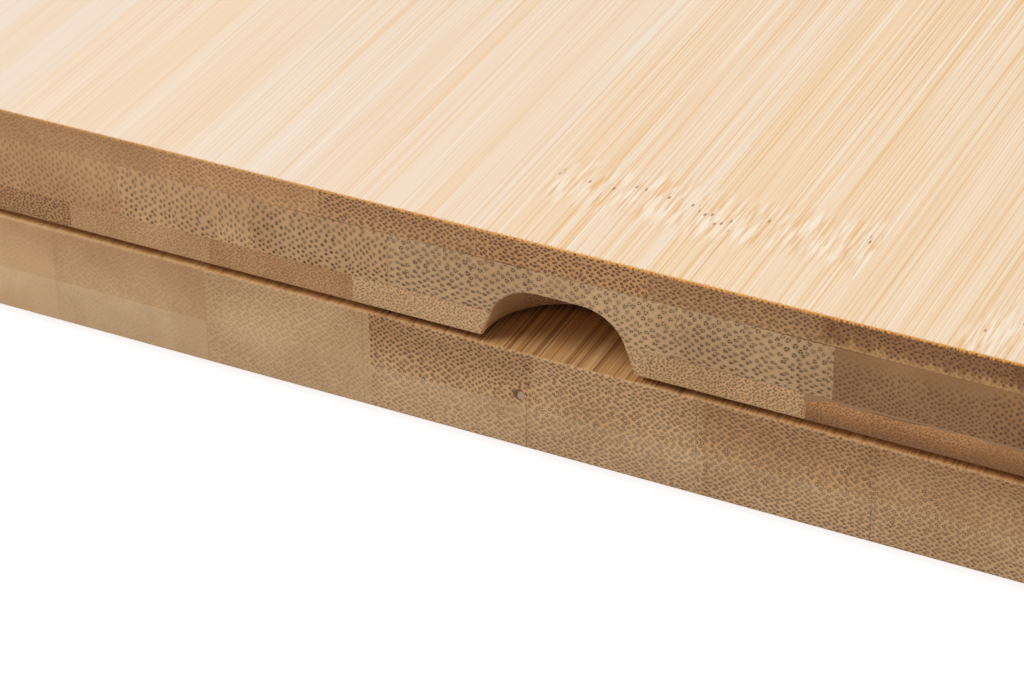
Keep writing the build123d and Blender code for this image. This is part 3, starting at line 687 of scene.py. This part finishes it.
runnerLook = {
    **drawerLook, "name": "runnerBamboo", "seed": 45.0, "stripWidth": 60.0 * mm, "stripSeam": -171.0 * mm,
    "sparse": pocketFloor, "dense": drawerTop, "denseShade": 0.5, "plyLines": [],
}

railLook = {
    **boardLook, "name": "railBamboo", "seed": 43.0, "stripWidth": 30.2 * mm, "stripSeam": -165.0 * mm,
    "spacing": 1.55 * mm, "scatter": 0.5, "crowding": 0.3, "ring": 0.21, "ringWidth": 0.13,
    "lobes": 4.0, "lobeShare": 0.45, "sparse": pocketFloor, "dense": boardBottom,
    "denseShade": 0.4, "sparseDots": 0.5, "denseDots": 0.5, "plyLines": [(pocketFloor, 0.12)],
}
backRailLook = {**railLook, "name": "backRailBamboo", "seed": 47.0, "turned": True}

handleLook = {  # caramel bamboo
    **railLook, "name": "handleBamboo", "seed": 51.0, "stripWidth": 60.0 * mm, "stripSeam": -171.0 * mm,
    "facePale": srgb(214, 168, 112), "faceWarm": srgb(190, 136, 82), "faceDeep": srgb(170, 116, 66),
    "faceLight": srgb(226, 184, 130), "faceLine": srgb(146, 94, 50), "lineWidth": 0.45 * mm, "plyLines": [],
    "flame": srgb(218, 174, 120), "crease": srgb(150, 98, 54), "speck": srgb(96, 60, 36),
}

tools = ("fork", "cleaver", "spade", "slicer")
for look, wearers in (
    (topPlyLook, ["top_ply"]), (corePlyLook, ["core_ply"]), (underPlyLook, ["under_ply"]),
    (drawerUpperLook, ["drawer_upper_ply"]), (drawerLowerLook, ["drawer_lower_ply"]),
    (railLook, ["left_rail", "right_rail"]), (backRailLook, ["back_rail"]),
    (runnerLook, ["left_runner", "right_runner"]), (handleLook, [tool + "_handle" for tool in tools]),
):
    bamboo = makeBamboo(look)
    for node in wearers:
        wear(node, bamboo)
print("bamboo dressed")


# steel and plating: brushed lines with Y, and broad smears over them
brushing = {"stretch": 90.0, "lineCloud": (1.0, 2.0, 0.6), "smearCloud": (38.0, 1.0, 0.4), "span": (0.3, 0.7),
            "smearShare": 0.6, "lineShare": 0.4, "depth": 0.02 * mm}
steelLook = {"name": "satinSteel", "pale": srgb(202, 203, 206), "deep": srgb(168, 169, 174),
             "rough": (0.24, 0.33), "finest": 0.16 * mm, "relief": 0.15}
screwLook = {"name": "zincPlate", "pale": srgb(196, 196, 190), "deep": srgb(160, 160, 158),
             "rough": (0.3, 0.5), "finest": 0.3 * mm, "relief": 0.25}
magnetLook = {"name": "nickelPlate", "pale": srgb(208, 206, 200), "deep": srgb(188, 186, 180),
              "rough": (0.12, 0.24), "finest": 0.3 * mm, "relief": 0.1}


def makeBrushedGroup():
    tree, given, out = newGroup("brushedLines", ["Point", "Line Width"], ["Lines", "Smears"])
    x, y, z = parts(given["Point"])
    width = given["Line Width"]
    fine = point(x / width, y / (width * brushing["stretch"]), z / width)
    feed(out["Lines"], fade(cloud(fine, *brushing["lineCloud"]), *brushing["span"]))
    feed(out["Smears"], fade(cloud(given["Point"], *brushing["smearCloud"]), *brushing["span"]))
    return tree


brushedGroup = makeBrushedGroup()


def makeMetal(look):
    material, shader, spot = newMaterial(look["name"])
    brushed = place(brushedGroup, {"Point": spot, "Line Width": look["finest"]})
    feed(shader.inputs["Base Color"], tint(brushed["Lines"], look["deep"], look["pale"]))
    both = brushed["Smears"] * brushing["smearShare"] + brushed["Lines"] * brushing["lineShare"]
    feed(shader.inputs["Roughness"], fade(both, 0.0, 1.0, *look["rough"]))
    shader.inputs["Metallic"].default_value = 1.0
    emboss(shader, brushed["Lines"], look["relief"], brushing["depth"])
    return material


# rubber of the feet, dusty where it meets the table
rubberLook = {
    "name": "footRubber", "fresh": srgb(46, 44, 43), "worn": srgb(74, 70, 66), "dust": srgb(128, 120, 108),
    "grainCloud": (2600.0, 2.0, 0.6), "rubCloud": (320.0, 2.0), "rubSpan": (0.4, 0.65),
    "lowSpan": (0.2 * mm, 0.9 * mm, 1.0, 0.0),
    "dustSpan": (0.45, 0.7), "dustShare": 0.5, "roughSpan": (0.3, 0.7, 0.66, 0.84), "relief": 0.35,
    "depth": 0.08 * mm,
}


def makeRubber(look):
    material, shader, spot = newMaterial(look["name"])
    grain = cloud(spot, *look["grainCloud"])
    rub = fade(cloud(spot, *look["rubCloud"]), *look["rubSpan"])
    low = fade(parts(spot)[2], *look["lowSpan"])
    colour = tint(rub, look["fresh"], look["worn"])
    colour = tint(fade(grain, *look["dustSpan"]) * (low * look["dustShare"]), colour, look["dust"])
    feed(shader.inputs["Base Color"], colour)
    feed(shader.inputs["Roughness"], fade(grain, *look["roughSpan"]))
    emboss(shader, grain, look["relief"], look["depth"])
    return material


satinSteel = makeMetal(steelLook)
zincPlate = makeMetal(screwLook)
nickelPlate = makeMetal(magnetLook)
footRubber = makeRubber(rubberLook)
for tool in tools:
    wear(tool + "_ferrule", satinSteel)
    wear(tool + "_blade", satinSteel)
for node in ("rail_magnets", "drawer_magnets"):
    wear(node, nickelPlate)
print("tools and magnets dressed")


# screws and feet: each kind is a tree of nodes, set out on a few points
railScrews = {"Head Radius": 3.5 * mm, "Head Height": 2.2 * mm, "Shank Radius": 1.75 * mm,
              "Length": 28.0 * mm, "Pan": 0.0, "Recess Length": 3.8 * mm, "Recess Width": 1.0 * mm,
              "Recess Depth": 1.5 * mm, "Turn Seed": 7, "Finish": zincPlate}
footScrews = {"Head Radius": 2.9 * mm, "Head Height": 1.1 * mm, "Shank Radius": 1.5 * mm,
              "Length": 12.1 * mm, "Pan": 1.0, "Recess Length": 3.0 * mm, "Recess Width": 0.85 * mm,
              "Recess Depth": 0.85 * mm, "Turn Seed": 12, "Finish": zincPlate}
screwShape = {"headSides": 40, "headSteps": 8, "shankSides": 20, "panShare": 0.8, "recessTaper": 0.55,
              "recessAbove": 0.2, "pointLength": 2.0, "pointTip": 0.25}
screwPlaces = {"along": 95.0 * mm, "across": 70.0 * mm, "footLevel": 0.3 * mm}
feet = {"Radius": 8.0 * mm, "Height": 2.5 * mm, "Edge Round": 0.6 * mm, "Recess Radius": 3.5 * mm,
        "Recess Depth": 1.4 * mm, "Hole Radius": 1.55 * mm, "Finish": footRubber}
footShape = {"sides": 48, "edgeSteps": 4, "seatLap": 0.3 * mm, "seatRound": 0.1 * mm}
sharpAngle = math.radians(32)


def newShape(name, settings):
    kinds = {float: "NodeSocketFloat", int: "NodeSocketInt", bpy.types.Material: "NodeSocketMaterial"}
    tree = bpy.data.node_groups.new(name, "GeometryNodeTree")
    tree.interface.new_socket(name="Places", in_out="INPUT", socket_type="NodeSocketGeometry")
    for label, value in settings.items():
        tree.interface.new_socket(name=label, in_out="INPUT", socket_type=kinds[type(value)])
    tree.interface.new_socket(name="Pieces", in_out="OUTPUT", socket_type="NodeSocketGeometry")
    given = wires(tree.nodes.new("NodeGroupInput").outputs)
    return tree, given, tree.nodes.new("NodeGroupOutput").inputs


def make(tree, kind, values, **options):
    return Wire(add(tree, kind, values, **options).outputs[0])


def lift(geometry, height):
    values = {"Geometry": geometry, "Translation": point(0.0, 0.0, height)}
    return make(geometry.tree, "GeometryNodeTransform", values)


def reshape(geometry, position):
    return make(geometry.tree, "GeometryNodeSetPosition", {"Geometry": geometry, "Position": position})


def join(*shapes):
    node = shapes[0].tree.nodes.new("GeometryNodeJoinGeometry")
    for each in shapes:
        feed(node.inputs[0], each)
    return Wire(node.outputs[0])


def setOut(given, out, geometry, rotation):
    tree = geometry.tree
    many = make(tree, "GeometryNodeInstanceOnPoints", {"Points": given["Places"], "Instance": geometry,
                                                       "Rotation": rotation})
    plain = make(tree, "GeometryNodeRealizeInstances", {"Geometry": many})
    dressed = make(tree, "GeometryNodeSetMaterial", {"Geometry": plain, "Material": given["Finish"]})
    feed(out["Pieces"], dressed)


def makeScrewTree():
    tree, given, out = newShape("crossScrews", railScrews)
    headRadius, headHeight, shank = given["Head Radius"], given["Head Height"], given["Shank Radius"]

    # head: a cone for a countersunk screw, rounded over for a pan head
    blank = make(tree, "GeometryNodeMeshCylinder", {
        "Vertices": screwShape["headSides"], "Side Segments": screwShape["headSteps"],
        "Radius": 1.0, "Depth": 1.0})
    x, y, z = parts(Wire(tree.nodes.new("GeometryNodeInputPosition").outputs[0]))
    rise = calc("ADD", z, 0.5, clamp=True)
    cone = (shank - headRadius) * rise + headRadius
    near = 1.0 - calc("DIVIDE", rise, screwShape["panShare"], clamp=True)
    arc = calc("SQRT", 1.0 - near * near)
    pan = headRadius * (arc * (1.0 - screwShape["panShare"]) + screwShape["panShare"])
    radius = (pan - cone) * given["Pan"] + cone
    head = reshape(blank, point(x * radius, y * radius, rise * headHeight))

    # cross recess: two crossing bars that narrow as they go in
    bar = make(tree, "GeometryNodeMeshCube", {"Size": (1.0, 1.0, 1.0)})
    inwards = 1.0 - rise * screwShape["recessTaper"]
    sink = (rise * (1.0 + screwShape["recessAbove"]) - screwShape["recessAbove"]) * given["Recess Depth"]
    long = given["Recess Length"] * inwards
    wide = given["Recess Width"] * inwards
    bar = reshape(bar, point(x * long, y * wide, sink))
    crossing = make(tree, "GeometryNodeTransform", {"Geometry": bar, "Rotation": (0.0, 0.0, math.pi / 2)})
    cut = add(tree, "GeometryNodeMeshBoolean", {}, operation="DIFFERENCE")
    for name, solid in (("Mesh 1", head), ("Mesh 2", bar), ("Mesh 2", crossing)):
        feed(cut.inputs[name], solid)

    # shank and point
    tip = shank * screwShape["pointLength"]
    straight = given["Length"] - headHeight - tip
    sides = screwShape["shankSides"]
    rod = make(tree, "GeometryNodeMeshCylinder", {"Vertices": sides, "Radius": shank, "Depth": straight})
    rod = lift(rod, straight * 0.5 + headHeight)
    end = make(tree, "GeometryNodeMeshCone", {"Vertices": sides, "Radius Top": shank * screwShape["pointTip"],
                                              "Radius Bottom": shank, "Depth": tip})
    end = lift(end, headHeight + straight)

    luck = add(tree, "FunctionNodeRandomValue", {"Seed": given["Turn Seed"]}, data_type="FLOAT")
    turn = point(0.0, 0.0, Wire(luck.outputs[1]) * (2 * math.pi))
    setOut(given, out, join(Wire(cut.outputs["Mesh"]), rod, end),
           make(tree, "FunctionNodeEulerToRotation", {"Euler": turn}))
    return tree


def makeFootTree():
    tree, given, out = newShape("rubberFeet", feet)

    def ring(inner, outer, low, high, bevel):  # a rounded bar swept round the screw
        path = make(tree, "GeometryNodeCurvePrimitiveCircle", {"Resolution": footShape["sides"],
                                                               "Radius": (inner + outer) * 0.5})
        size = {"Width": outer - inner, "Height": high - low}
        bar = make(tree, "GeometryNodeCurvePrimitiveQuadrilateral", size)
        corners = {"Curve": bar, "Radius": bevel, "Count": footShape["edgeSteps"], "Limit Radius": True}
        bar = make(tree, "GeometryNodeFilletCurve", corners, mode="POLY")
        swept = make(tree, "GeometryNodeCurveToMesh", {"Curve": path, "Profile Curve": bar})
        return lift(swept, (high + low) * 0.5)

    pad = ring(given["Recess Radius"], given["Radius"], 0.0, given["Height"], given["Edge Round"])
    seat = ring(given["Hole Radius"], given["Recess Radius"] + footShape["seatLap"], given["Recess Depth"],
                given["Height"], footShape["seatRound"])
    setOut(given, out, join(pad, seat), (0.0, 0.0, 0.0))
    return tree


def standPieces(name, tree, settings, places, stands):
    mesh = bpy.data.meshes.new(name + "Places")
    mesh.from_pydata(places, [], [])
    marks = bpy.data.objects.new(name + "Places", mesh)
    bpy.context.scene.collection.objects.link(marks)
    modifier = marks.modifiers.new(name, "NODES")
    modifier.node_group = tree
    for item in tree.interface.items_tree:
        if item.in_out == "INPUT" and item.name in settings:
            modifier[item.identifier] = settings[item.name]
    graph = bpy.context.evaluated_depsgraph_get()
    made = bpy.data.meshes.new_from_object(marks.evaluated_get(graph), depsgraph=graph)
    bpy.data.objects.remove(marks)
    made.name = name
    made.shade_smooth()
    made.set_sharp_from_angle(angle=sharpAngle)
    piece = bpy.data.objects.new(name, made)
    bpy.context.scene.collection.objects.link(piece)
    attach(piece, "board")
    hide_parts(*stands)
    print(name, len(made.polygons), "faces")


def middle(node):
    low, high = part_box(node)
    return (low + high) / 2


railPlaces = [(middle(rail).x, step * screwPlaces["along"], drawerBottom)
              for rail in ("left_rail", "right_rail") for step in (-1, 0, 1)]
railPlaces += [(side * screwPlaces["across"], middle("back_rail").y, drawerBottom) for side in (-1, 1)]
footNodes = [depth + side + "foot" for depth in ("front_", "back_") for side in ("left_", "right_")]
footPlaces = [(middle(node).x, middle(node).y, 0.0) for node in footNodes]
footScrewPlaces = [(x, y, screwPlaces["footLevel"]) for x, y, z in footPlaces]
screwTree = makeScrewTree()
standPieces("railScrewSet", screwTree, railScrews, railPlaces, ["rail_screws"])
standPieces("footScrewSet", screwTree, footScrews, footScrewPlaces, ["foot_screws"])
standPieces("footSet", makeFootTree(), feet, footPlaces, footNodes)
print("screws and feet set out")


# floor, light and camera
studio = {"floorSize": 6.0, "floorColour": srgb(222, 222, 222), "floorRough": 0.9, "floorGlow": 0.85,
          "skyLow": 0.06, "skyHigh": 0.5, "skySpan": (0.2, 0.8),
          "lamps": {"keyLamp": ((0.25, 0.35, 1.15), 1.0, 3.6), "fillLamp": ((-0.50, -0.65, 1.05), 0.6, 8.5)}}
white = (1, 1, 1, 1)


def seenRays(tree):  # rays that show the floor or the sky itself, and don't light the board
    rays = wires(tree.nodes.new("ShaderNodeLightPath").outputs)
    return calc("MAXIMUM", rays["Is Camera Ray"],
                calc("MAXIMUM", rays["Is Glossy Ray"], rays["Is Transmission Ray"]))


def makeFloor():
    half = studio["floorSize"] / 2
    mesh = bpy.data.meshes.new("studioFloor")
    corners = [(-half, -half, 0), (half, -half, 0), (half, half, 0), (-half, half, 0)]
    mesh.from_pydata(corners, [], [(0, 1, 2, 3)])
    floor = bpy.data.objects.new("studioFloor", mesh)
    bpy.context.scene.collection.objects.link(floor)
    material = bpy.data.materials.new("paleFloor")
    material.use_nodes = True
    shader = material.node_tree.nodes["Principled BSDF"]
    shader.inputs["Base Color"].default_value = studio["floorColour"]
    shader.inputs["Roughness"].default_value = studio["floorRough"]
    shader.inputs["Emission Color"].default_value = white
    feed(shader.inputs["Emission Strength"], seenRays(material.node_tree) * studio["floorGlow"])
    mesh.materials.append(material)


def makeLight():
    for name, (spot, size, power) in studio["lamps"].items():
        lamp = bpy.data.lights.new(name, "AREA")
        lamp.energy = power
        lamp.size = size
        holder = bpy.data.objects.new(name, lamp)
        holder.location = spot
        holder.rotation_euler = (-Vector(spot)).to_track_quat("-Z", "Y").to_euler()
        bpy.context.scene.collection.objects.link(holder)
    world = bpy.data.worlds.new("studioWorld")
    bpy.context.scene.world = world
    world.use_nodes = True
    tree = world.node_tree
    sky = tree.nodes["Background"]
    height = parts(Wire(tree.nodes.new("ShaderNodeTexCoord").outputs["Generated"]))[2]
    light = fade(height, *studio["skySpan"], studio["skyLow"], studio["skyHigh"])  # dimmer lower down
    sky.inputs["Color"].default_value = white
    feed(sky.inputs["Strength"], calc("MAXIMUM", light, seenRays(tree)))


# fromEdge is where the camera stands from the notch's middle, at the top of the front edge
view = {"azimuth": 26.054, "elevation": 33.530, "roll": -0.441, "lens": 122.31, "sensor": 36.0,
        "nearest": 0.01, "fromEdge": (178.584 * mm, -380.102 * mm, 262.438 * mm)}


def makeCamera():
    azimuth, elevation, roll = (math.radians(view[name]) for name in ("azimuth", "elevation", "roll"))
    back = Vector((math.sin(azimuth) * math.cos(elevation), -math.cos(azimuth) * math.cos(elevation),
                   math.sin(elevation)))
    right = Vector((math.cos(azimuth), math.sin(azimuth), 0.0))
    up = back.cross(right)
    turnedRight = right * math.cos(roll) + up * math.sin(roll)
    turnedUp = up * math.cos(roll) - right * math.sin(roll)
    lens = bpy.data.cameras.new("photoCamera")
    lens.lens = view["lens"]
    lens.sensor_width = view["sensor"]
    lens.clip_start = view["nearest"]
    camera = bpy.data.objects.new("photoCamera", lens)
    stand = Vector((0.0, frontY, boardTop)) + Vector(view["fromEdge"])
    turn = Matrix((turnedRight, turnedUp, back)).transposed().to_4x4()
    camera.matrix_world = Matrix.Translation(stand) @ turn
    bpy.context.scene.collection.objects.link(camera)
    bpy.context.scene.camera = camera


makeFloor()
makeLight()
makeCamera()
bpy.context.scene.view_settings.view_transform = "Standard"
print("floor, light and camera set")
